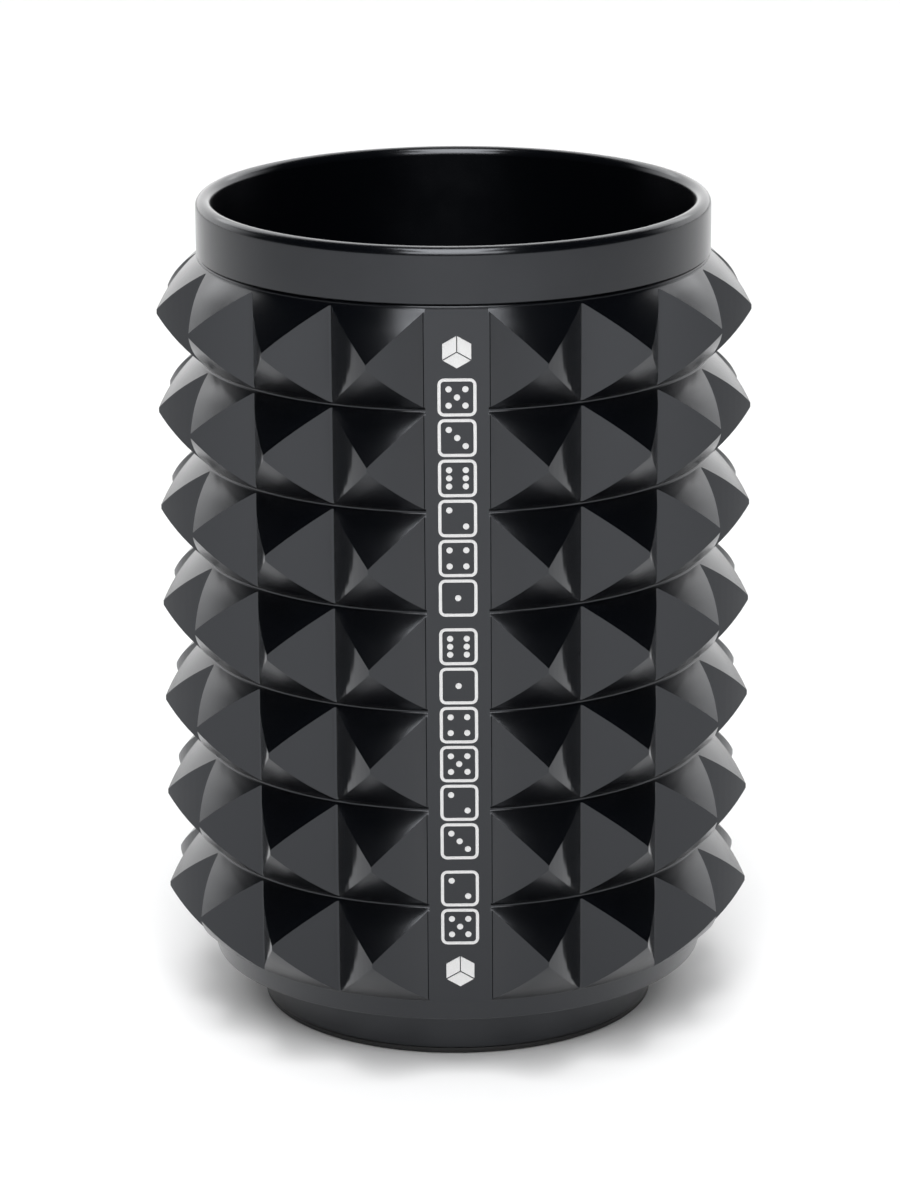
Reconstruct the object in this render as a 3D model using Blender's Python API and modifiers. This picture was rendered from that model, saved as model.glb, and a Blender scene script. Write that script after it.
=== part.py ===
"""A dice cup machined from aluminium: a thin turned inner cup with a rounded lip, inside a milled
outer sleeve with seven rows of pyramid studs and one flat strip down its front, on a turned foot.

The frame's origin is the middle of the foot's underside. +Z is up and the flat strip faces -Y.
All sizes are in metres.
"""

from math import cos, hypot, pi, radians, sin

import bmesh
import bpy
from mathutils import Matrix

MM = 0.001

# Driving dimensions
HEIGHT = 116.7 * MM
GAP = 0.3 * MM  # between pieces that touch

# Studs: turned V-grooves set the rows and milled V-grooves set the columns
ROWS = 7
ROW_PITCH = 14 * MM
LOWEST_TIP_Z = 17.6 * MM
COLUMNS = 16
STRIP_HALF_ANGLE = radians(6)  # where the first column starts, each side of the strip's middle
COLUMN_PITCH = (2 * pi - 2 * STRIP_HALF_ANGLE) / COLUMNS
TIP_R = 41.6 * MM
CREST_R = TIP_R + 0.35 * MM  # the turned rows stand a little proud, so that each tip is a short edge
TURNED_ROOT_R = 35.8 * MM
MILLED_ROOT_R = 36.05 * MM
ROOT_HALF_WIDTH = 0.28 * MM  # the flat at the bottom of every groove
COLUMN_STEPS = 3
STRIP_STEPS = 2

# Flat strip: the turned grooves stop at the land that it is milled on
STRIP_Y = -35.95 * MM
STRIP_HALF_WIDTH = 4.25 * MM
LAND_HALF_WIDTH = STRIP_HALF_WIDTH - 0.05 * MM
LAND_INNER_Y = -35.1 * MM
LAND_OUTER_Y = -37 * MM
LAND_END = 0.8 * MM  # from the first and last groove to the land's ends

# Inner cup
RIM_R = 35.8 * MM
BORE_R = 33.5 * MM
COLLAR_CHAMFER = 0.2 * MM
CUP_WALL_R = 34.3 * MM
CUP_FLOOR = 4 * MM
ROUND_STEPS = 64
LIP_STEPS = 6

# Band under the studs, and the lip inside the sleeve that the foot clamps
BAND_BOTTOM_Z = 7.7 * MM
BAND_BOTTOM_R = 34.9 * MM
BAND_CHAMFER = 0.2 * MM
SLEEVE_LIP = 2.5 * MM
SLEEVE_LIP_R = 26 * MM

# Foot and pads
FOOT_R = 28 * MM
FOOT_CHAMFER = 0.3 * MM
FOOT_PAD = 0.7 * MM
FOOT_PAD_R = 27.8 * MM
FOOT_PAD_CHAMFER = 0.15 * MM
FLOOR_PAD = 2 * MM
FLOOR_PAD_R = 33 * MM
FLOOR_PAD_CHAMFER = 0.3 * MM

# Screws that hold the foot to the inner cup
SCREWS = 4
SCREW_CIRCLE_R = 16 * MM
SHANK_R = 2 * MM
HEAD_R = 3.5 * MM
HEAD_HEIGHT = 2.4 * MM
COUNTERBORE_R = HEAD_R + 0.5 * MM
COUNTERBORE_DEPTH = 3 * MM
SCREW_REACH = 2.8 * MM  # thread inside the inner cup's floor
SOCKET_R = 1.45 * MM
SOCKET_DEPTH = 1.4 * MM
SCREW_STEPS = 20

# Levels that follow from the sizes above
HIGHEST_TIP_Z = LOWEST_TIP_Z + (ROWS - 1) * ROW_PITCH
HIGHEST_ROOT_Z = HIGHEST_TIP_Z + ROW_PITCH / 2
LOWEST_ROOT_Z = LOWEST_TIP_Z - ROW_PITCH / 2
SLEEVE_TOP_Z = HIGHEST_ROOT_Z + ROOT_HALF_WIDTH
COLLAR_BOTTOM_Z = SLEEVE_TOP_Z + GAP
SLEEVE_BORE_R = CUP_WALL_R + GAP
CUP_BOTTOM_Z = BAND_BOTTOM_Z + SLEEVE_LIP + GAP
CUP_FLOOR_Z = CUP_BOTTOM_Z + CUP_FLOOR
FOOT_BOTTOM_Z = FOOT_PAD + GAP
FOOT_SHOULDER_Z = BAND_BOTTOM_Z - GAP
SPIGOT_TOP_Z = CUP_BOTTOM_Z - GAP
SPIGOT_R = SLEEVE_LIP_R - GAP
HEAD_BOTTOM_Z = FOOT_BOTTOM_Z + COUNTERBORE_DEPTH - GAP - HEAD_HEIGHT
SCREW_TOP_Z = CUP_BOTTOM_Z + SCREW_REACH


def clear_scene():
    for obj in list(bpy.data.objects):
        bpy.data.objects.remove(obj, do_unlink=True)


def new_collection(name):
    collection = bpy.data.collections.new(name)
    bpy.context.scene.collection.children.link(collection)
    return collection


def finish_material(name, colour, roughness, metallic):
    material = bpy.data.materials.new(name)
    material.use_nodes = True
    shader = material.node_tree.nodes["Principled BSDF"]
    shader.inputs["Base Color"].default_value = (*colour, 1)
    shader.inputs["Roughness"].default_value = roughness
    shader.inputs["Metallic"].default_value = metallic
    return material


def new_piece(name, mesh, collection, material=None, sharp_above=30):
    """A named object, shaded smooth except at its real edges."""
    if material:
        mesh.materials.append(material)
    mesh.shade_smooth()
    mesh.set_sharp_from_angle(angle=radians(sharp_above))
    obj = bpy.data.objects.new(name, mesh)
    collection.objects.link(obj)
    return obj


def new_cutter(name, mesh, collection):
    obj = new_piece(name, mesh, collection)
    obj.hide_render = True
    obj.display_type = "WIRE"
    return obj


def boolean(obj, other, operation):
    modifier = obj.modifiers.new(f"{operation.lower()}_{other.name}", "BOOLEAN")
    modifier.object = other
    modifier.operation = operation
    modifier.solver = "EXACT"


def profile_mesh(name, points, closed=False):
    """A profile of (radius, height) points on the +X side, for a Screw modifier or a spin."""
    bm = bmesh.new()
    verts = [bm.verts.new((r, 0, z)) for r, z in points]
    for first, second in zip(verts, verts[1:]):
        bm.edges.new((first, second))
    if closed:
        bm.edges.new((verts[-1], verts[0]))
    mesh = bpy.data.meshes.new(name)
    bm.to_mesh(mesh)
    bm.free()
    return mesh


def turned(obj, steps):
    screw = obj.modifiers.new("turned", "SCREW")
    screw.axis = "Z"
    screw.angle = 2 * pi
    screw.steps = steps
    screw.render_steps = steps
    screw.use_merge_vertices = True
    screw.merge_threshold = 0.00001
    screw.use_smooth_shade = True
    return obj


def turned_piece(name, points, collection, material, steps):
    return turned(new_piece(name, profile_mesh(name, points), collection, material), steps)


def disc_profile(radius, bottom, top, chamfer):
    return [
        (0, top),
        (radius - chamfer, top),
        (radius, top - chamfer),
        (radius, bottom + chamfer),
        (radius - chamfer, bottom),
        (0, bottom),
    ]


def around(radius, angle):
    """The point at this radius, with its angle counted from the strip's middle towards +X."""
    return radius * sin(angle), -radius * cos(angle)


def sleeve_profile():
    """The sleeve's section: stud rows and grooves outside, then the band, the inner lip and the bore."""
    points = [(SLEEVE_BORE_R, SLEEVE_TOP_Z), (TURNED_ROOT_R, SLEEVE_TOP_Z)]
    points.append((TURNED_ROOT_R, HIGHEST_ROOT_Z - ROOT_HALF_WIDTH))
    for row in range(ROWS):
        tip_z = HIGHEST_TIP_Z - row * ROW_PITCH
        points.append((CREST_R, tip_z))
        for side in (1, -1):
            points.append((TURNED_ROOT_R, tip_z - ROW_PITCH / 2 + side * ROOT_HALF_WIDTH))
    points += [
        (BAND_BOTTOM_R, BAND_BOTTOM_Z + BAND_CHAMFER),
        (BAND_BOTTOM_R - BAND_CHAMFER, BAND_BOTTOM_Z),
        (SLEEVE_LIP_R, BAND_BOTTOM_Z),
        (SLEEVE_LIP_R, BAND_BOTTOM_Z + SLEEVE_LIP),
        (SLEEVE_BORE_R, BAND_BOTTOM_Z + SLEEVE_LIP),
    ]
    return points


def turned_blank():
    """The sleeve before the upright grooves are milled. Each stud's middle lies inside a step."""
    mesh = profile_mesh("studded_sleeve", sleeve_profile(), closed=True)
    bm = bmesh.new()
    bm.from_mesh(mesh)
    first_column = Matrix.Rotation(STRIP_HALF_ANGLE - pi / 2, 3, "Z")
    bmesh.ops.rotate(bm, verts=bm.verts, cent=(0, 0, 0), matrix=first_column)
    ring = bm.edges[:]
    for angle, steps in (
        (COLUMNS * COLUMN_PITCH, COLUMNS * COLUMN_STEPS),
        (2 * STRIP_HALF_ANGLE, STRIP_STEPS),
    ):
        made = bmesh.ops.spin(
            bm, geom=ring, cent=(0, 0, 0), axis=(0, 0, 1), angle=angle, steps=steps, use_duplicate=False
        )
        ring = [item for item in made["geom_last"] if isinstance(item, bmesh.types.BMEdge)]
    bmesh.ops.remove_doubles(bm, verts=bm.verts, dist=0.000001)
    bmesh.ops.recalc_face_normals(bm, faces=bm.faces)
    bm.to_mesh(mesh)
    bm.free()
    return mesh


def milled_outline():
    """The plan of the milled grooves: a star with one point for each column, and the flat strip."""
    outline = [(STRIP_HALF_WIDTH, STRIP_Y)]
    for column in range(COLUMNS):
        start = STRIP_HALF_ANGLE + column * COLUMN_PITCH
        if column:
            for side in (-1, 1):
                spread = side * ROOT_HALF_WIDTH / MILLED_ROOT_R
                outline.append(around(hypot(MILLED_ROOT_R, ROOT_HALF_WIDTH), start + spread))
        outline.append(around(TIP_R, start + COLUMN_PITCH / 2))
    outline.append((-STRIP_HALF_WIDTH, STRIP_Y))
    return outline


def land_outline():
    """The plan of the ungrooved land down the front, before the strip is milled flat on it."""
    return [
        (-LAND_HALF_WIDTH, LAND_OUTER_Y),
        (LAND_HALF_WIDTH, LAND_OUTER_Y),
        (LAND_HALF_WIDTH, LAND_INNER_Y),
        (-LAND_HALF_WIDTH, LAND_INNER_Y),
    ]


def extruded(name, outline, bottom, top):
    bm = bmesh.new()
    verts = [bm.verts.new((x, y, bottom)) for x, y in outline]
    base = bm.faces.new(verts)
    raised = bmesh.ops.extrude_face_region(bm, geom=[base])["geom"]
    lifted = [item for item in raised if isinstance(item, bmesh.types.BMVert)]
    bmesh.ops.translate(bm, verts=lifted, vec=(0, 0, top - bottom))
    bmesh.ops.recalc_face_normals(bm, faces=bm.faces)
    mesh = bpy.data.meshes.new(name)
    bm.to_mesh(mesh)
    bm.free()
    return mesh


def cylinder(name, radius, bottom, top, segments, place=(0, 0)):
    bm = bmesh.new()
    bmesh.ops.create_cone(
        bm, cap_ends=True, segments=segments, radius1=radius, radius2=radius, depth=top - bottom
    )
    bmesh.ops.translate(bm, verts=bm.verts, vec=(*place, (top + bottom) / 2))
    mesh = bpy.data.meshes.new(name)
    bm.to_mesh(mesh)
    bm.free()
    return mesh


def make_studded_sleeve(parts, cutters, material):
    sleeve = new_piece("studded_sleeve", turned_blank(), parts, material)
    land = extruded("strip_land", land_outline(), LOWEST_ROOT_Z + LAND_END, HIGHEST_ROOT_Z - LAND_END)
    boolean(sleeve, new_cutter("strip_land", land, cutters), "UNION")
    margin = 1 * MM
    star = extruded("milled_star", milled_outline(), BAND_BOTTOM_Z - margin, SLEEVE_TOP_Z + margin)
    boolean(sleeve, new_cutter("milled_star", star, cutters), "INTERSECT")


def inner_cup_profile():
    """From the floor's middle, up the bore, over the round lip, down the collar and the thin wall."""
    lip_r = (RIM_R - BORE_R) / 2
    lip_middle = (RIM_R + BORE_R) / 2
    points = [(0, CUP_FLOOR_Z), (BORE_R, CUP_FLOOR_Z)]
    for step in range(LIP_STEPS + 1):
        angle = pi - pi * step / LIP_STEPS
        points.append((lip_middle + lip_r * cos(angle), HEIGHT - lip_r + lip_r * sin(angle)))
    points += [
        (RIM_R, COLLAR_BOTTOM_Z + COLLAR_CHAMFER),
        (RIM_R - COLLAR_CHAMFER, COLLAR_BOTTOM_Z),
        (CUP_WALL_R, COLLAR_BOTTOM_Z),
        (CUP_WALL_R, CUP_BOTTOM_Z),
        (0, CUP_BOTTOM_Z),
    ]
    return points


def screw_places():
    return [around(SCREW_CIRCLE_R, 2 * pi * (n + 0.5) / SCREWS) for n in range(SCREWS)]


def make_inner_cup(parts, cutters, material):
    cup = turned_piece("inner_cup", inner_cup_profile(), parts, material, ROUND_STEPS)
    for number, place in enumerate(screw_places(), 1):
        name = f"thread_hole_{number}"
        hole = cylinder(
            name, SHANK_R + GAP, CUP_BOTTOM_Z - 1 * MM, SCREW_TOP_Z + GAP, SCREW_STEPS, place
        )
        boolean(cup, new_cutter(name, hole, cutters), "DIFFERENCE")


def make_base_foot(parts, cutters, material):
    """A disc that stands the cup up, with a spigot that centres it in the sleeve's inner lip."""
    profile = [
        (0, SPIGOT_TOP_Z),
        (SPIGOT_R, SPIGOT_TOP_Z),
        (SPIGOT_R, FOOT_SHOULDER_Z),
        (FOOT_R - FOOT_CHAMFER, FOOT_SHOULDER_Z),
        (FOOT_R, FOOT_SHOULDER_Z - FOOT_CHAMFER),
        (FOOT_R, FOOT_BOTTOM_Z + FOOT_CHAMFER),
        (FOOT_R - FOOT_CHAMFER, FOOT_BOTTOM_Z),
        (0, FOOT_BOTTOM_Z),
    ]
    foot = turned_piece("base_foot", profile, parts, material, ROUND_STEPS)
    for number, place in enumerate(screw_places(), 1):
        shank = cylinder(
            f"shank_hole_{number}", SHANK_R + GAP, 0, SPIGOT_TOP_Z + 1 * MM, SCREW_STEPS, place
        )
        boolean(foot, new_cutter(f"shank_hole_{number}", shank, cutters), "DIFFERENCE")
        top = FOOT_BOTTOM_Z + COUNTERBORE_DEPTH
        counterbore = cylinder(f"counterbore_{number}", COUNTERBORE_R, 0, top, SCREW_STEPS, place)
        boolean(foot, new_cutter(f"counterbore_{number}", counterbore, cutters), "DIFFERENCE")


def make_screws(parts, cutters, material):
    """Cap screws, driven from underneath before the foot pad is bonded on."""
    head_top = HEAD_BOTTOM_Z + HEAD_HEIGHT
    profile = [(0, SCREW_TOP_Z), (SHANK_R, SCREW_TOP_Z), (SHANK_R, head_top)]
    profile += [(HEAD_R, head_top), (HEAD_R, HEAD_BOTTOM_Z), (0, HEAD_BOTTOM_Z)]
    socket_mesh = cylinder("hex_socket", SOCKET_R, 0, HEAD_BOTTOM_Z + SOCKET_DEPTH, 6)
    for number, place in enumerate(screw_places(), 1):
        screw = turned_piece(f"base_screw_{number}", profile, parts, material, SCREW_STEPS)
        socket = new_cutter(f"hex_socket_{number}", socket_mesh.copy(), cutters)
        boolean(screw, socket, "DIFFERENCE")
        for obj in (screw, socket):
            obj.location = (*place, 0)


def main():
    clear_scene()
    parts = new_collection("dice_cup")
    cutters = new_collection("cutters")
    anodised = finish_material("black_anodised_aluminium", (0.045, 0.046, 0.05), 0.4, 0.8)
    rubber = finish_material("black_rubber", (0.02, 0.02, 0.021), 0.7, 0)
    leather = finish_material("black_leather", (0.03, 0.027, 0.025), 0.65, 0)
    steel = finish_material("screw_steel", (0.5, 0.5, 0.5), 0.35, 1)

    make_studded_sleeve(parts, cutters, anodised)
    make_inner_cup(parts, cutters, anodised)
    make_base_foot(parts, cutters, anodised)
    make_screws(parts, cutters, steel)
    foot_pad = disc_profile(FOOT_PAD_R, 0, FOOT_PAD, FOOT_PAD_CHAMFER)
    turned_piece("foot_pad", foot_pad, parts, rubber, ROUND_STEPS)
    pad_bottom = CUP_FLOOR_Z + GAP
    floor_pad = disc_profile(FLOOR_PAD_R, pad_bottom, pad_bottom + FLOOR_PAD, FLOOR_PAD_CHAMFER)
    turned_piece("floor_pad", floor_pad, parts, leather, ROUND_STEPS)


main()
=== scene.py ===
"""A black anodised dice cup with a studded sleeve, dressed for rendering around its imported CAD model.

All sizes are in metres, in the CAD model's frame: the origin is the middle of the foot's underside,
+Z is up and the flat strip faces -Y.
"""

from math import atan2, cos, hypot, pi, radians, sin

import bmesh
import bpy
from mathutils import Matrix, Vector


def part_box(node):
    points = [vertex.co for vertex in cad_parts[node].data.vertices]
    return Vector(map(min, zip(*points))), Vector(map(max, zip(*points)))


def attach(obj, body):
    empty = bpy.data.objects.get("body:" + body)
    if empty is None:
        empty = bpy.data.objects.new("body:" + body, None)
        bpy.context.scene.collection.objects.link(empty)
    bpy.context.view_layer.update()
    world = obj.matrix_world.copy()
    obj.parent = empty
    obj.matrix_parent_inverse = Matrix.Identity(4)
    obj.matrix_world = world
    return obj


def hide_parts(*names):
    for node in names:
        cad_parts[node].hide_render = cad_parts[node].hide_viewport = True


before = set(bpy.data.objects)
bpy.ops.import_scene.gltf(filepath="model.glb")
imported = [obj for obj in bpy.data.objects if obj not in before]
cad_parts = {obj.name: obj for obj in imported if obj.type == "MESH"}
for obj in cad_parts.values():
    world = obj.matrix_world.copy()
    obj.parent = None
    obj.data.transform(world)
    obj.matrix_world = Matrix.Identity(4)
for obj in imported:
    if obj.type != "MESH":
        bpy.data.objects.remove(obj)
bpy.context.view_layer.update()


# --- Studded sleeve -------------------------------------------------------------------------------
# A turned and milled aluminium sleeve, satin black anodised after machining. V-grooves turned round it
# and V-grooves milled up it leave seven rows of pyramid studs, and a land up the front is milled flat.
# It slides over the inner cup from below, and the foot clamps its inner lip.

MM = 0.001
sleeve_low, sleeve_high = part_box("studded_sleeve")
GAP = 0.3 * MM
ROWS = 7
ROW_PITCH = 14 * MM
COLUMNS = 16
STRIP_HALF_ANGLE = radians(6)
COLUMN_PITCH = (2 * pi - 2 * STRIP_HALF_ANGLE) / COLUMNS
ROOT_HALF_WIDTH = 0.28 * MM
HIGHEST_TIP_Z = sleeve_high.z - ROOT_HALF_WIDTH - ROW_PITCH / 2
TIP_R = 41.6 * MM
CREST_R = TIP_R + 0.2 * MM
TURNED_ROOT_R = 35.8 * MM
MILLED_ROOT_R = 36.05 * MM
STRIP_Y = -35.95 * MM
STRIP_HALF_WIDTH = 4.25 * MM
STRIP_SHOULDER = 0.12 * MM  # how deep the step beside the strip is, and how wide
SHOULDER_FALL = 1.2  # the step's depth at its outer end, as a share of that beside the strip
LAND_END = 0.12 * MM
LAND_INSET = 0.05 * MM
LAND_FRONT_Y = -37 * MM  # well in front of the strip, which is cut flat through it
LAND_BACK_Y = -35.1 * MM
TOP_ROUND = 0.25 * MM
BAND_BOTTOM_Z = sleeve_low.z
BAND_BOTTOM_R = 34.9 * MM
BAND_ROUND = 0.3 * MM
SLEEVE_BORE_R = 34.7 * MM
SLEEVE_LIP_R = 26 * MM
SLEEVE_LIP = 2.5 * MM
ROOT_FILLET = 0.4 * MM  # the nose radius of both cutters
CUT_MARGIN = 1 * MM  # how far a cutter runs on past the piece at each end
ROOT_STEPS = 8
COLUMN_STEPS = 15  # odd, so that every stud's middle lies inside a step
STRIP_STEPS = 9
SHORTEST_EDGE = 0.05 * MM
SAME_POINT = 0.001 * MM
CROWN = 0.42 * MM  # how far the middle of a stud's face stands out of the line from its tip to its root
CROWN_STEPS = 8


def link(name, mesh):
    obj = bpy.data.objects.new(name, mesh)
    bpy.context.scene.collection.objects.link(obj)
    return obj


def mesh_from(bm, name):
    mesh = bpy.data.meshes.new(name)
    bm.to_mesh(mesh)
    bm.free()
    return mesh


def spun(bm, points, turns, closed=True, start=0.0):
    """Spins a profile of (radius, height) points about Z, through each (angle, steps) of turns."""
    verts = [bm.verts.new((r * sin(start), -r * cos(start), z)) for r, z in points]
    ring = [bm.edges.new(pair) for pair in zip(verts, verts[1:])]
    if closed:
        ring.append(bm.edges.new((verts[-1], verts[0])))
    for angle, steps in turns:
        made = bmesh.ops.spin(bm, geom=ring, axis=(0, 0, 1), angle=angle, steps=steps)
        ring = [item for item in made["geom_last"] if isinstance(item, bmesh.types.BMEdge)]
    bmesh.ops.remove_doubles(bm, verts=bm.verts, dist=SAME_POINT)
    bmesh.ops.recalc_face_normals(bm, faces=bm.faces)


def extruded(name, outlines, axis_shift):
    """A closed prism for each outline of (x, y, z) corners, extruded by the vector axis_shift."""
    bm = bmesh.new()
    for corners in outlines:
        face = bm.faces.new([bm.verts.new(corner) for corner in corners])
        raised = bmesh.ops.extrude_face_region(bm, geom=[face])["geom"]
        lifted = [item for item in raised if isinstance(item, bmesh.types.BMVert)]
        bmesh.ops.translate(bm, verts=lifted, vec=axis_shift)
    bmesh.ops.recalc_face_normals(bm, faces=bm.faces)
    return mesh_from(bm, name)


def combine(obj, mesh, operation, material_mode="INDEX"):
    """Applies a Boolean with a mesh that isn't needed afterwards."""
    other = link("cutter", mesh)
    modifier = obj.modifiers.new(operation, "BOOLEAN")
    modifier.object = other
    modifier.operation = operation
    modifier.solver = "EXACT"
    modifier.material_mode = material_mode
    apply_modifiers(obj)
    bpy.data.objects.remove(other, do_unlink=True)


def apply_modifiers(obj):
    graph = bpy.context.evaluated_depsgraph_get()
    mesh = bpy.data.meshes.new_from_object(obj.evaluated_get(graph))
    obj.modifiers.clear()
    obj.data = mesh


def weld(obj, distance):
    """Splits the faces into triangles and joins corners that lie closer together than the distance."""
    bm = bmesh.new()
    bm.from_mesh(obj.data)
    bmesh.ops.triangulate(bm, faces=bm.faces)
    bmesh.ops.remove_doubles(bm, verts=bm.verts, dist=distance)
    bmesh.ops.dissolve_degenerate(bm, dist=distance / 10, edges=bm.edges)
    bm.to_mesh(obj.data)
    bm.free()


def shade(obj, sharp_above=40):
    """Smooths the surface, and leaves edges that turn by more than sharp_above degrees crisp."""
    obj.data.shade_smooth()
    obj.data.set_sharp_from_angle(angle=radians(sharp_above))
    weighted = obj.modifiers.new("weighted_normals", "WEIGHTED_NORMAL")
    weighted.keep_sharp = True
    apply_modifiers(obj)


def ring_point(radius, angle):
    return (radius * sin(angle), -radius * cos(angle))


def root_arc(root, half_width, slope):
    """A groove's round bottom as (across, out) offsets, from one wall of this slope to the other."""
    drop = ROOT_FILLET * cos(slope)
    angles = [slope * (2 * step / ROOT_STEPS - 1) for step in range(ROOT_STEPS + 1)]
    stretch = half_width / (ROOT_FILLET * sin(slope))
    return [(stretch * ROOT_FILLET * sin(a), root + stretch * (drop - ROOT_FILLET * cos(a))) for a in angles]


def corner(centre_r, centre_z, radius, start, end, steps=6):
    """Points round a corner of a turned profile, from one angle to another."""
    angles = [start + (end - start) * step / steps for step in range(steps + 1)]
    return [(centre_r + radius * cos(a), centre_z + radius * sin(a)) for a in angles]


def crowned(start, end):
    """The points between two corners along a shallow arc, which bulges to the left of the way along it."""
    start, end = Vector(start), Vector(end)
    out = (end - start).orthogonal().normalized()
    shares = [step / CROWN_STEPS for step in range(1, CROWN_STEPS)]
    return [tuple(start.lerp(end, share) + out * 4 * CROWN * share * (1 - share)) for share in shares]


def root_slope(rise, run):
    """How steeply a crowned face of this rise and run meets the bottom of its groove."""
    return atan2(rise, run) + 2 * atan2(2 * CROWN, hypot(rise, run))


cone_slope = root_slope(CREST_R - TURNED_ROOT_R, ROW_PITCH / 2 - ROOT_HALF_WIDTH)
groove = root_arc(TURNED_ROOT_R, ROOT_HALF_WIDTH, cone_slope)
top_groove_z = HIGHEST_TIP_Z + ROW_PITCH / 2
top_edge_r = groove[ROOT_STEPS // 2][1]
top_round_z = sleeve_high.z - TOP_ROUND
sleeve_profile = [(SLEEVE_BORE_R, sleeve_high.z)]
sleeve_profile += corner(top_edge_r - TOP_ROUND, top_round_z, TOP_ROUND, pi / 2, 0, steps=5)
sleeve_profile += [(out, top_groove_z - across) for across, out in groove[ROOT_STEPS // 2 :]]
for row in range(ROWS):
    crest = (CREST_R, HIGHEST_TIP_Z - row * ROW_PITCH)
    below = [(out, crest[1] - ROW_PITCH / 2 - across) for across, out in groove]
    sleeve_profile += [*crowned(sleeve_profile[-1], crest), crest, *crowned(crest, below[0])]
    sleeve_profile += below if row < ROWS - 1 else below[: ROOT_STEPS // 2 + 1]
band_round_at = (BAND_BOTTOM_R - BAND_ROUND, BAND_BOTTOM_Z + BAND_ROUND)
sleeve_profile += corner(*band_round_at, BAND_ROUND, 0, -pi / 2, steps=4)
sleeve_profile += [
    (SLEEVE_LIP_R, BAND_BOTTOM_Z),
    (SLEEVE_LIP_R, BAND_BOTTOM_Z + SLEEVE_LIP),
    (SLEEVE_BORE_R, BAND_BOTTOM_Z + SLEEVE_LIP),
]
bm = bmesh.new()
spun(
    bm,
    sleeve_profile,
    [(COLUMNS * COLUMN_PITCH, COLUMNS * COLUMN_STEPS), (2 * STRIP_HALF_ANGLE, STRIP_STEPS)],
    start=STRIP_HALF_ANGLE,
)
sleeve = link("studded_sleeve_surface", mesh_from(bm, "studded_sleeve_surface"))

land_top = sleeve_high.z - ROOT_HALF_WIDTH - LAND_END
land_bottom = HIGHEST_TIP_Z - (ROWS - 0.5) * ROW_PITCH + LAND_END
land_half_width = STRIP_HALF_WIDTH - LAND_INSET
land = [
    (-land_half_width, LAND_FRONT_Y, land_bottom),
    (land_half_width, LAND_FRONT_Y, land_bottom),
    (land_half_width, LAND_BACK_Y, land_bottom),
    (-land_half_width, LAND_BACK_Y, land_bottom),
]
combine(sleeve, extruded("land", [land], (0, 0, land_top - land_bottom)), "UNION")

facet_out = TIP_R * cos(COLUMN_PITCH / 2) - MILLED_ROOT_R
facet_across = TIP_R * sin(COLUMN_PITCH / 2) - ROOT_HALF_WIDTH
milled_groove = root_arc(MILLED_ROOT_R, ROOT_HALF_WIDTH, root_slope(facet_out, facet_across))
shoulder = [(0, 0), (STRIP_SHOULDER, 0), (STRIP_SHOULDER * SHOULDER_FALL, STRIP_SHOULDER)]
star = [(STRIP_HALF_WIDTH + across, STRIP_Y + down) for down, across in shoulder]
for column in range(COLUMNS):
    start = STRIP_HALF_ANGLE + column * COLUMN_PITCH
    if column:
        star += [ring_point(hypot(out, across), start + atan2(across, out)) for across, out in milled_groove]
    tip = ring_point(TIP_R, start + COLUMN_PITCH / 2)
    star += [*reversed(crowned(tip, star[-1])), tip]
    ahead = ring_point(hypot(*milled_groove[0]), start + COLUMN_PITCH + atan2(*milled_groove[0]))
    end = ahead if column < COLUMNS - 1 else (-star[2][0], star[2][1])
    star += reversed(crowned(end, tip))
star += [(-STRIP_HALF_WIDTH - across, STRIP_Y + down) for down, across in reversed(shoulder)]
star = [(x, y, BAND_BOTTOM_Z - CUT_MARGIN) for x, y in star]
star_height = (0, 0, sleeve_high.z - BAND_BOTTOM_Z + 2 * CUT_MARGIN)
combine(sleeve, extruded("star", [star], star_height), "INTERSECT")
weld(sleeve, SHORTEST_EDGE)


# --- Black anodised finish ------------------------------------------------------------------------
# A satin black oxide skin on machined aluminium. It mirrors its surroundings as a dark glaze does, and
# shows the tool marks under it: circles on turned faces, and upright lines on milled ones.


BLACK_SKIN = (0.001, 0.0013, 0.002)
SKIN_TINT = (0.91, 0.94, 1, 1)
SKIN_IOR = 1.54
ROUGHNESS_SPREAD = 0.02
MARKS_ALONG = 60  # how many times per metre a tool mark changes along its length
RADIAL_SHARE = 0.5  # how closely circles lie on a face across the axis, against those on a wall
SIDEWAYS = (0.9, 0.45)  # a level direction, along which upright marks follow one another


def node(tree, kind, inputs=(), **settings):
    made = tree.nodes.new(kind)
    for key, value in settings.items():
        setattr(made, key, value)
    for key, value in dict(inputs).items():
        if isinstance(value, bpy.types.NodeSocket):
            tree.links.new(value, made.inputs[key])
        else:
            made.inputs[key].default_value = value
    return made


def maths(tree, operation, *values):
    return node(tree, "ShaderNodeMath", dict(enumerate(values)), operation=operation).outputs[0]


def remapped(tree, value, start=(0, 1), end=(0, 1), curve="LINEAR"):
    """A value carried from the range start to the range end, and held at the ends of both."""
    inputs = dict(enumerate((value, *start, *end)))
    return node(tree, "ShaderNodeMapRange", inputs, interpolation_type=curve).outputs[0]


def noise(tree, place, scale, detail, roughness=0.5):
    inputs = {"Vector": place, "Scale": scale, "Detail": detail, "Roughness": roughness}
    return node(tree, "ShaderNodeTexNoise", inputs).outputs["Fac"]


def raise_surface(tree, shader, height, depth):
    """A bump on the shader, with its highest points the depth above its lowest."""
    bump = node(tree, "ShaderNodeBump", {"Height": height, "Strength": 1.0, "Distance": depth})
    tree.links.new(bump.outputs[0], shader.inputs["Normal"])


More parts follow.
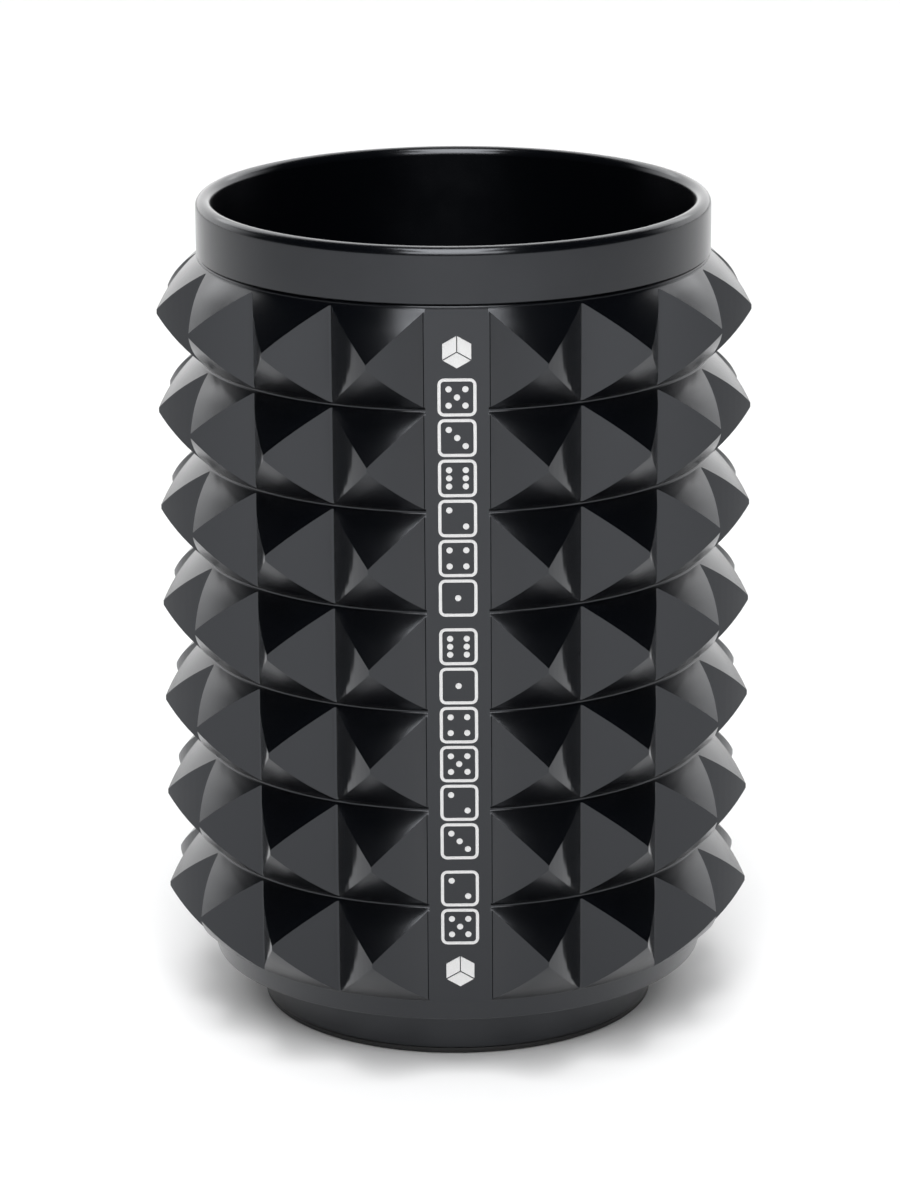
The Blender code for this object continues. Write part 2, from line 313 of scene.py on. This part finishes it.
def new_material(name, colour, roughness, metallic=0.0, ior=1.5):
    """A material with its node tree, its shader and a socket that gives places on the object."""
    material = bpy.data.materials.new(name)
    material.use_nodes = True
    tree = material.node_tree
    shader = tree.nodes["Principled BSDF"]
    shader.inputs["Base Color"].default_value = (*colour, 1)
    shader.inputs["Roughness"].default_value = roughness
    shader.inputs["Metallic"].default_value = metallic
    shader.inputs["IOR"].default_value = ior
    return material, tree, shader, node(tree, "ShaderNodeTexCoord").outputs["Object"]


def anodised(name, along, depth=0.0004 * MM, spacing=0.3 * MM, roughness=0.24, anisotropy=0.82):
    """Black anodised metal. along is "turned" for circles round Z and "milled" for upright lines."""
    material, tree, shader, place = new_material(name, BLACK_SKIN, roughness, ior=SKIN_IOR)
    x, y, z = node(tree, "ShaderNodeSeparateXYZ", {0: place}).outputs
    if along == "turned":
        squares = maths(tree, "ADD", maths(tree, "MULTIPLY", x, x), maths(tree, "MULTIPLY", y, y))
        radius = maths(tree, "SQRT", squares)
        across = maths(tree, "SUBTRACT", z, maths(tree, "MULTIPLY", radius, RADIAL_SHARE))
        lengths = (x, y)
    else:
        shares = [maths(tree, "MULTIPLY", value, share) for value, share in zip((x, y), SIDEWAYS)]
        across = maths(tree, "ADD", *shares)
        lengths = (z,)
    drawn_out = [maths(tree, "MULTIPLY", length, MARKS_ALONG) for length in lengths]
    cells = dict(enumerate([maths(tree, "DIVIDE", across, spacing), *drawn_out]))
    stretched = node(tree, "ShaderNodeCombineXYZ", cells).outputs[0]
    raise_surface(tree, shader, noise(tree, stretched, 1.0, 2.0, roughness=0.6), depth)
    shader.inputs["Specular Tint"].default_value = SKIN_TINT
    shader.inputs["Anisotropic"].default_value = anisotropy
    shader.inputs["Anisotropic Rotation"].default_value = 0.25 if along == "turned" else 0.0
    round_z = node(tree, "ShaderNodeTangent", direction_type="RADIAL", axis="Z")
    tree.links.new(round_z.outputs[0], shader.inputs["Tangent"])
    spread = (roughness - ROUGHNESS_SPREAD, roughness + ROUGHNESS_SPREAD)
    rough = remapped(tree, noise(tree, place, 140.0, 3.0), (0.3, 0.7), spread)
    tree.links.new(rough, shader.inputs["Roughness"])
    return material


OUTSIDE_SLACK = 0.3 * MM  # how far inside the milled grooves' bottoms the outside still reaches
UPRIGHT = 0.02  # a milled face's normal rises or falls by less than this
turned_black = anodised("black_anodised_turned", "turned")
milled_black = anodised("black_anodised_milled", "milled", depth=0.001 * MM, roughness=0.13, anisotropy=0.4)
sleeve.data.materials.clear()
sleeve.data.materials.append(turned_black)
sleeve.data.materials.append(milled_black)
for face in sleeve.data.polygons:
    outside = hypot(face.center.x, face.center.y) > MILLED_ROOT_R - OUTSIDE_SLACK
    face.material_index = int(outside and abs(face.normal.z) < UPRIGHT)


# --- Engraving ------------------------------------------------------------------------------------
# Laser marks up the flat strip, which burn the black skin away and leave pale matt metal: a row of
# outlined dice faces with their spots, and a solid die drawn in three dimensions at each end.

MARK_WIDTH = 5.2 * MM
MARK_LINE = 0.43 * MM
MARK_DEPTH = 0.05 * MM
MARK_LOW_Z = 13.0 * MM
MARK_HIGH_Z = 105.0 * MM
MARK_GAP = 0.35 * MM
MARK_REACH = 0.2 * MM  # how far the marks' cutter starts in front of the strip
OUTER_CORNER = 0.9 * MM
INNER_CORNER = 0.45 * MM
SPOT_PITCH = 1.12 * MM
SPOT_R = 0.43 * MM
DIE_HALF = 2.3 * MM
DIE_FACE_SHARE = 0.93  # how much of its third of the die each drawn face fills
SPOTS = {
    1: [(0, 0)],
    2: [(-1, 1), (1, -1)],
    3: [(-1, 1), (0, 0), (1, -1)],
    4: [(-1, 1), (1, 1), (-1, -1), (1, -1)],
    5: [(-1, 1), (1, 1), (-1, -1), (1, -1), (0, 0)],
    6: [(-1, 1), (1, 1), (-1, -1), (1, -1), (-1, 0), (1, 0)],
}
GROUPS = [(5, 3, 6, 2, 4, 1), (6, 1, 4, 5, 2, 3), (2, 5)]


def rounded_square(middle_z, half, corner, steps=5):
    """The (x, z) corners of a square on the strip, with round corners."""
    points = []
    for quarter in range(4):
        turn = quarter * pi / 2
        for step in range(steps + 1):
            angle = turn + pi / 2 * step / steps
            cx = (half - corner) * (1 if quarter in (0, 3) else -1)
            cz = (half - corner) * (1 if quarter in (0, 1) else -1)
            points.append((cx + corner * cos(angle), middle_z + cz + corner * sin(angle)))
    return points


def disc(x, z, radius, steps=14):
    angles = [2 * pi * step / steps for step in range(steps)]
    return [(x + radius * cos(angle), z + radius * sin(angle)) for angle in angles]


def loop_face(bm, points, y):
    return bm.faces.new([bm.verts.new((x, y, z)) for x, z in points])


def outline_faces(bm, outer, inner, y):
    """A flat band between two loops with the same number of points."""
    outside = [bm.verts.new((x, y, z)) for x, z in outer]
    inside = [bm.verts.new((x, y, z)) for x, z in inner]
    ahead = [*range(1, len(outside)), 0]
    return [bm.faces.new((outside[n], outside[m], inside[m], inside[n])) for n, m in enumerate(ahead)]


bm = bmesh.new()
mark_y = STRIP_Y - MARK_REACH
half = MARK_WIDTH / 2
mark_pitch = MARK_WIDTH + MARK_GAP
total = sum(len(group) for group in GROUPS) * mark_pitch
spare = (MARK_HIGH_Z - MARK_LOW_Z) - total - 4 * DIE_HALF
space = spare / (len(GROUPS) + 1)
z = MARK_HIGH_Z - 2 * DIE_HALF - space
for group in GROUPS:
    for number in group:
        middle = z - MARK_WIDTH / 2
        outer = rounded_square(middle, half, OUTER_CORNER)
        inner = rounded_square(middle, half - MARK_LINE, INNER_CORNER)
        outline_faces(bm, outer, inner, mark_y)
        for column, line in SPOTS[number]:
            loop_face(bm, disc(column * SPOT_PITCH, middle + line * SPOT_PITCH, SPOT_R), mark_y)
        z -= mark_pitch
    z -= space
for middle in (MARK_HIGH_Z - DIE_HALF, MARK_LOW_Z + DIE_HALF):
    for turn in range(3):
        start = pi / 2 + turn * 2 * pi / 3
        angles = [start + step * pi / 3 for step in range(3)]
        corners = [(0, 0)] + [(DIE_HALF * cos(angle), DIE_HALF * sin(angle)) for angle in angles]
        cx = sum(x for x, w in corners) / 4
        cz = sum(w for x, w in corners) / 4
        shrunk = [(cx + (x - cx) * DIE_FACE_SHARE, cz + (w - cz) * DIE_FACE_SHARE) for x, w in corners]
        loop_face(bm, [(x, middle + w) for x, w in shrunk], mark_y)
raised = bmesh.ops.extrude_face_region(bm, geom=bm.faces[:])["geom"]
moved = [item for item in raised if isinstance(item, bmesh.types.BMVert)]
bmesh.ops.translate(bm, verts=moved, vec=(0, STRIP_Y + MARK_DEPTH - mark_y, 0))
bmesh.ops.recalc_face_normals(bm, faces=bm.faces)
marks = mesh_from(bm, "marks")

bare, tree, shader, place = new_material("engraved_bare_metal", (0.88, 0.88, 0.87), 0.6)
tone = remapped(tree, noise(tree, place, 9000.0, 2.0), (0.3, 0.7), (0.52, 0.68))
grey = node(tree, "ShaderNodeCombineColor", {0: tone, 1: tone, 2: tone}).outputs[0]
tree.links.new(grey, shader.inputs["Base Color"])
marks.materials.append(bare)
combine(sleeve, marks, "DIFFERENCE", material_mode="TRANSFER")
shade(sleeve, sharp_above=21)
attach(sleeve, "root")
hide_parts("studded_sleeve")


# --- Inner cup ------------------------------------------------------------------------------------
# A thin turned aluminium cup with a full round lip and a plain collar that covers the sleeve's top. It
# is turned in one piece and anodised with the sleeve, and screws from the foot hold its floor.

cup_low, cup_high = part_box("inner_cup")
RIM_R = 35.8 * MM
BORE_R = 33.5 * MM
CUP_WALL_R = 34.3 * MM
CUP_FLOOR_Z = cup_low.z + 4 * MM
CUP_FLOOR_FILLET = 1.5 * MM
COLLAR_BOTTOM_Z = sleeve_high.z + 0.08 * MM
COLLAR_CHAMFER = 0.2 * MM
LIP_STEPS = 16
TURN_STEPS = 256
lip_r = (RIM_R - BORE_R) / 2
cup_profile = [(0, CUP_FLOOR_Z)]
fillet_at = (BORE_R - CUP_FLOOR_FILLET, CUP_FLOOR_Z + CUP_FLOOR_FILLET)
cup_profile += corner(*fillet_at, CUP_FLOOR_FILLET, -pi / 2, 0)
cup_profile += corner(BORE_R + lip_r, cup_high.z - lip_r, lip_r, pi, 0, steps=LIP_STEPS)
cup_profile += [
    (RIM_R, COLLAR_BOTTOM_Z + COLLAR_CHAMFER),
    (RIM_R - COLLAR_CHAMFER, COLLAR_BOTTOM_Z),
    (CUP_WALL_R, COLLAR_BOTTOM_Z),
    (CUP_WALL_R, cup_low.z),
    (0, cup_low.z),
]
bm = bmesh.new()
spun(bm, cup_profile, [(2 * pi, TURN_STEPS)], closed=False)
cup = link("inner_cup_surface", mesh_from(bm, "inner_cup_surface"))
cup_black = anodised("black_anodised_cup", "turned", depth=0.0018 * MM, roughness=0.2, anisotropy=0.7)
cup.data.materials.append(cup_black)
shade(cup)
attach(cup, "root")
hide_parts("inner_cup")


# --- Foot -----------------------------------------------------------------------------------------
# A turned aluminium disc, narrower than the sleeve, anodised with it. Its spigot centres the sleeve, and
# cap screws go up through its counterbores into the inner cup's floor.

foot_low, foot_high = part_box("base_foot")
FOOT_R = foot_high.x
FOOT_SHOULDER_Z = BAND_BOTTOM_Z - 0.06 * MM
SPIGOT_R = SLEEVE_LIP_R - GAP
SCREW_CIRCLE_R = 16 * MM
COUNTERBORE_TOP_Z = foot_low.z + 3 * MM
COUNTERBORE_R = 4 * MM
SHANK_HOLE_R = 2.3 * MM
FOOT_TOP_ROUND = 0.3 * MM
FOOT_BOTTOM_ROUND = 0.25 * MM
FOOT_BOTTOM_Z = foot_low.z - 0.22 * MM  # down to the pad, but for a bond line


def cylinder(name, radius, bottom, top, segments, place):
    bm = bmesh.new()
    sizes = {"segments": segments, "radius1": radius, "radius2": radius, "depth": top - bottom}
    bmesh.ops.create_cone(bm, cap_ends=True, **sizes)
    bmesh.ops.translate(bm, verts=bm.verts, vec=(*place, (top + bottom) / 2))
    return mesh_from(bm, name)


foot_profile = [(0, foot_high.z), (SPIGOT_R, foot_high.z), (SPIGOT_R, FOOT_SHOULDER_Z)]
top_round_at = (FOOT_R - FOOT_TOP_ROUND, FOOT_SHOULDER_Z - FOOT_TOP_ROUND)
bottom_round_at = (FOOT_R - FOOT_BOTTOM_ROUND, FOOT_BOTTOM_Z + FOOT_BOTTOM_ROUND)
foot_profile += corner(*top_round_at, FOOT_TOP_ROUND, pi / 2, 0)
foot_profile += corner(*bottom_round_at, FOOT_BOTTOM_ROUND, 0, -pi / 2)
foot_profile.append((0, FOOT_BOTTOM_Z))
bm = bmesh.new()
spun(bm, foot_profile, [(2 * pi, TURN_STEPS)], closed=False)
foot = link("base_foot_surface", mesh_from(bm, "base_foot_surface"))
foot.data.materials.append(anodised("black_anodised_foot", "turned"))
screw_places = [ring_point(SCREW_CIRCLE_R, 2 * pi * (number + 0.5) / 4) for number in range(4)]
for place in screw_places:
    shank_hole = cylinder("shank_hole", SHANK_HOLE_R, -CUT_MARGIN, foot_high.z + CUT_MARGIN, 32, place)
    combine(foot, shank_hole, "DIFFERENCE")
    counterbore = cylinder("counterbore", COUNTERBORE_R, -CUT_MARGIN, COUNTERBORE_TOP_Z, 48, place)
    combine(foot, counterbore, "DIFFERENCE")
weld(foot, SHORTEST_EDGE)
shade(foot)
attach(foot, "root")
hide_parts("base_foot")


# --- Foot pad -------------------------------------------------------------------------------------
# A thin die-cut disc of black rubber, bonded under the foot so that the cup doesn't slide or scratch.

pad_low, pad_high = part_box("foot_pad")
PAD_ROUND = 0.15 * MM
PORE_DEPTH = 0.02 * MM
rubber, tree, shader, place = new_material("black_rubber", (0.012, 0.012, 0.0125), 0.62)
pores = noise(tree, place, 2600.0, 3.0)
raise_surface(tree, shader, pores, PORE_DEPTH)
tree.links.new(remapped(tree, pores, end=(0.55, 0.75)), shader.inputs["Roughness"])
pad_profile = [(0, pad_high.z)]
pad_profile += corner(pad_high.x - PAD_ROUND, pad_high.z - PAD_ROUND, PAD_ROUND, pi / 2, 0, steps=3)
pad_profile += corner(pad_high.x - PAD_ROUND, pad_low.z + PAD_ROUND, PAD_ROUND, 0, -pi / 2, steps=3)
pad_profile.append((0, pad_low.z))
bm = bmesh.new()
spun(bm, pad_profile, [(2 * pi, TURN_STEPS)], closed=False)
foot_pad = link("foot_pad_surface", mesh_from(bm, "foot_pad_surface"))
foot_pad.data.materials.append(rubber)
shade(foot_pad)
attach(foot_pad, "root")
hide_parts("foot_pad")


# --- Floor pad ------------------------------------------------------------------------------------
# A disc of black grained leather glued into the bottom of the cup, which quietens the dice. Its cut
# edge is rounded over and its face crowns very slightly.

leather_low, leather_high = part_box("floor_pad")
LEATHER_CROWN = 0.05 * MM  # how far the face has fallen at seven tenths of the way to the edge
LEATHER_ROUND = 0.6 * MM
LEATHER_FALL = 0.15 * MM  # how far the face has fallen where the edge's round begins
GRAIN_DEPTH = 0.05 * MM
leather, tree, shader, place = new_material("black_leather", (0.02, 0.018, 0.017), 0.5)
grain = node(tree, "ShaderNodeTexVoronoi", {"Vector": place, "Scale": 900.0}, feature="DISTANCE_TO_EDGE")
creases = remapped(tree, grain.outputs["Distance"], start=(0, 0.18), curve="SMOOTHSTEP")
height = maths(tree, "MULTIPLY_ADD", noise(tree, place, 220.0, 3.0), 0.8, creases)
raise_surface(tree, shader, height, GRAIN_DEPTH)
tree.links.new(remapped(tree, creases, end=(0.72, 0.42)), shader.inputs["Roughness"])
edge_round_at = (leather_high.x - LEATHER_ROUND, leather_high.z - LEATHER_FALL - LEATHER_ROUND)
leather_profile = [(0, leather_high.z), (leather_high.x * 0.7, leather_high.z - LEATHER_CROWN)]
leather_profile += corner(*edge_round_at, LEATHER_ROUND, pi / 2, 0)
leather_profile += [(leather_high.x, leather_low.z), (0, leather_low.z)]
bm = bmesh.new()
spun(bm, leather_profile, [(2 * pi, TURN_STEPS // 2)], closed=False)
floor_pad = link("floor_pad_surface", mesh_from(bm, "floor_pad_surface"))
floor_pad.data.materials.append(leather)
shade(floor_pad)
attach(floor_pad, "root")
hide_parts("floor_pad")


# --- Base screws ----------------------------------------------------------------------------------
# Four small socket-head cap screws of plain steel, driven from underneath before the rubber pad goes on.

SHANK_R = 2 * MM
TIP_CHAMFER = 0.3 * MM
HEAD_HEIGHT = 2.4 * MM
HEAD_TOP_ROUND = 0.2 * MM
HEAD_EDGE_ROUND = 0.35 * MM
SOCKET_R = 1.45 * MM
SOCKET_DEPTH = 1.4 * MM
steel, tree, shader, place = new_material("screw_steel", (0.55, 0.55, 0.56), 0.32, metallic=1.0)
rough = remapped(tree, noise(tree, place, 700.0, 4.0), end=(0.22, 0.45))
tree.links.new(rough, shader.inputs["Roughness"])
for number, place in enumerate(screw_places, 1):
    screw_low, screw_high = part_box(f"base_screw_{number}")
    head_r = (screw_high.x - screw_low.x) / 2
    under_head = screw_low.z + HEAD_HEIGHT
    profile = [
        (0, screw_high.z),
        (SHANK_R - TIP_CHAMFER, screw_high.z),
        (SHANK_R, screw_high.z - TIP_CHAMFER),
        (SHANK_R, under_head),
    ]
    under_at = (head_r - HEAD_TOP_ROUND, under_head - HEAD_TOP_ROUND)
    edge_at = (head_r - HEAD_EDGE_ROUND, screw_low.z + HEAD_EDGE_ROUND)
    profile += corner(*under_at, HEAD_TOP_ROUND, pi / 2, 0, steps=3)
    profile += corner(*edge_at, HEAD_EDGE_ROUND, 0, -pi / 2, steps=4)
    profile.append((0, screw_low.z))
    bm = bmesh.new()
    spun(bm, profile, [(2 * pi, 48)], closed=False)
    bmesh.ops.translate(bm, verts=bm.verts, vec=(*place, 0))
    screw = link(f"base_screw_{number}_surface", mesh_from(bm, "base_screw_surface"))
    screw.data.materials.append(steel)
    socket = cylinder("hex_socket", SOCKET_R, 0, screw_low.z + SOCKET_DEPTH, 6, place)
    combine(screw, socket, "DIFFERENCE")
    weld(screw, SHORTEST_EDGE)
    shade(screw)
    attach(screw, "root")
    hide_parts(f"base_screw_{number}")


# --- Floor ----------------------------------------------------------------------------------------
# A plain white studio table that runs on past the edge of the view. It is matt, so that it carries the
# cup's shadow and no clear reflection of it.

FLOOR_HALF_SIZE = 3
FLOOR_DROP = 0.2 * MM
bm = bmesh.new()
bmesh.ops.create_grid(bm, x_segments=1, y_segments=1, size=FLOOR_HALF_SIZE)
floor = link("studio_floor", mesh_from(bm, "studio_floor"))
floor.location.z = -FLOOR_DROP
paper, _, shader, _ = new_material("white_table", (0.88, 0.882, 0.886), 0.9)
shader.inputs["Specular IOR Level"].default_value = 0.2
floor.data.materials.append(paper)


# --- Light ----------------------------------------------------------------------------------------
# A white sweep stands behind the cup in a dark room, with soft boxes in front, overhead and behind. A
# broad fill is left out of reflections, so that it whitens the table and leaves the metal black.

SWEEP_SIDES = (0.1, 0.55)  # how far back a direction has to point to meet the sweep
SWEEP_TOP = (sin(radians(22)), sin(radians(36)))
SWEEP_STRENGTH = 1.7
ROOM_STRENGTH = 0.015

world = bpy.data.worlds.new("studio")
bpy.context.scene.world = world
world.use_nodes = True
tree = world.node_tree
direction = node(tree, "ShaderNodeTexCoord").outputs["Generated"]
x, y, z = node(tree, "ShaderNodeSeparateXYZ", {0: direction}).outputs
behind = remapped(tree, y, SWEEP_SIDES, curve="SMOOTHSTEP")
low = maths(tree, "SUBTRACT", 1.0, remapped(tree, z, SWEEP_TOP, curve="SMOOTHSTEP"))
sweep = maths(tree, "MULTIPLY", behind, low)
strength = maths(tree, "MULTIPLY_ADD", sweep, SWEEP_STRENGTH, ROOM_STRENGTH)
tree.links.new(strength, tree.nodes["Background"].inputs["Strength"])
tree.nodes["Background"].inputs["Color"].default_value = (1, 1, 1, 1)


def soft_box(name, place, aim, width, depth, radiance):
    """A panel of light, with its width across the view."""
    light = bpy.data.lights.new(name, "AREA")
    light.shape = "RECTANGLE"
    light.size = width
    light.size_y = depth
    light.energy = radiance * pi * width * depth
    lamp = bpy.data.objects.new(name, light)
    bpy.context.scene.collection.objects.link(lamp)
    lamp.location = place
    lamp.rotation_euler = (Vector(aim) - Vector(place)).to_track_quat("-Z", "Y").to_euler()
    return lamp


soft_box("front_soft_box", (0, -1.15, 0.9), (0, 0, 0.05), 1.0, 0.6, 6.0)
soft_box("overhead_soft_box", (-0.02, -0.55, 1.15), (-0.02, -0.54, 0), 0.5, 1.0, 7.6)
soft_box("back_soft_box", (0, 1.1, 1.0), (0, 0.7, 0), 2.2, 0.7, 2.2)
table_light = soft_box("table_light", (0, -0.1, 2.2), (0, -0.09, 0), 3.2, 3.2, 0.5)
table_light.visible_glossy = False


# --- Camera ---------------------------------------------------------------------------------------
# A long lens, a little above the cup and looking down at it. It stands nearly square to the strip, and
# leans by about a third of a degree.

LENS_MM = 189.2056
SENSOR_WIDTH_MM = 36
CAMERA_PLACE = Vector((5.176, -645.46, 248.1)) * MM
CAMERA_PITCH = radians(16.4223)
CAMERA_YAW = radians(-0.53)
CAMERA_ROLL = radians(-0.3736)
ROUND_THE_CUP = radians(-1.0182)  # how far the camera has walked round the cup's axis from that place
camera_data = bpy.data.cameras.new("camera")
camera_data.sensor_fit = "HORIZONTAL"
camera_data.sensor_width = SENSOR_WIDTH_MM
camera_data.lens = LENS_MM
camera_data.clip_start = 0.01
camera = bpy.data.objects.new("camera", camera_data)
bpy.context.scene.collection.objects.link(camera)
turn = Matrix.Rotation(ROUND_THE_CUP, 3, "Z")
forward = Vector(
    (
        sin(CAMERA_YAW) * cos(CAMERA_PITCH),
        cos(CAMERA_YAW) * cos(CAMERA_PITCH),
        -sin(CAMERA_PITCH),
    )
)
right = Vector((cos(CAMERA_YAW), -sin(CAMERA_YAW), 0))
up = right.cross(forward)
level = cos(CAMERA_ROLL)
lean = sin(CAMERA_ROLL)
right, up = level * right + lean * up, level * up - lean * right
axes = Matrix((turn @ right, turn @ up, turn @ -forward)).transposed()
camera.matrix_world = Matrix.Translation(turn @ CAMERA_PLACE) @ axes.to_4x4()
bpy.context.scene.camera = camera
bpy.context.scene.view_settings.view_transform = "Standard"
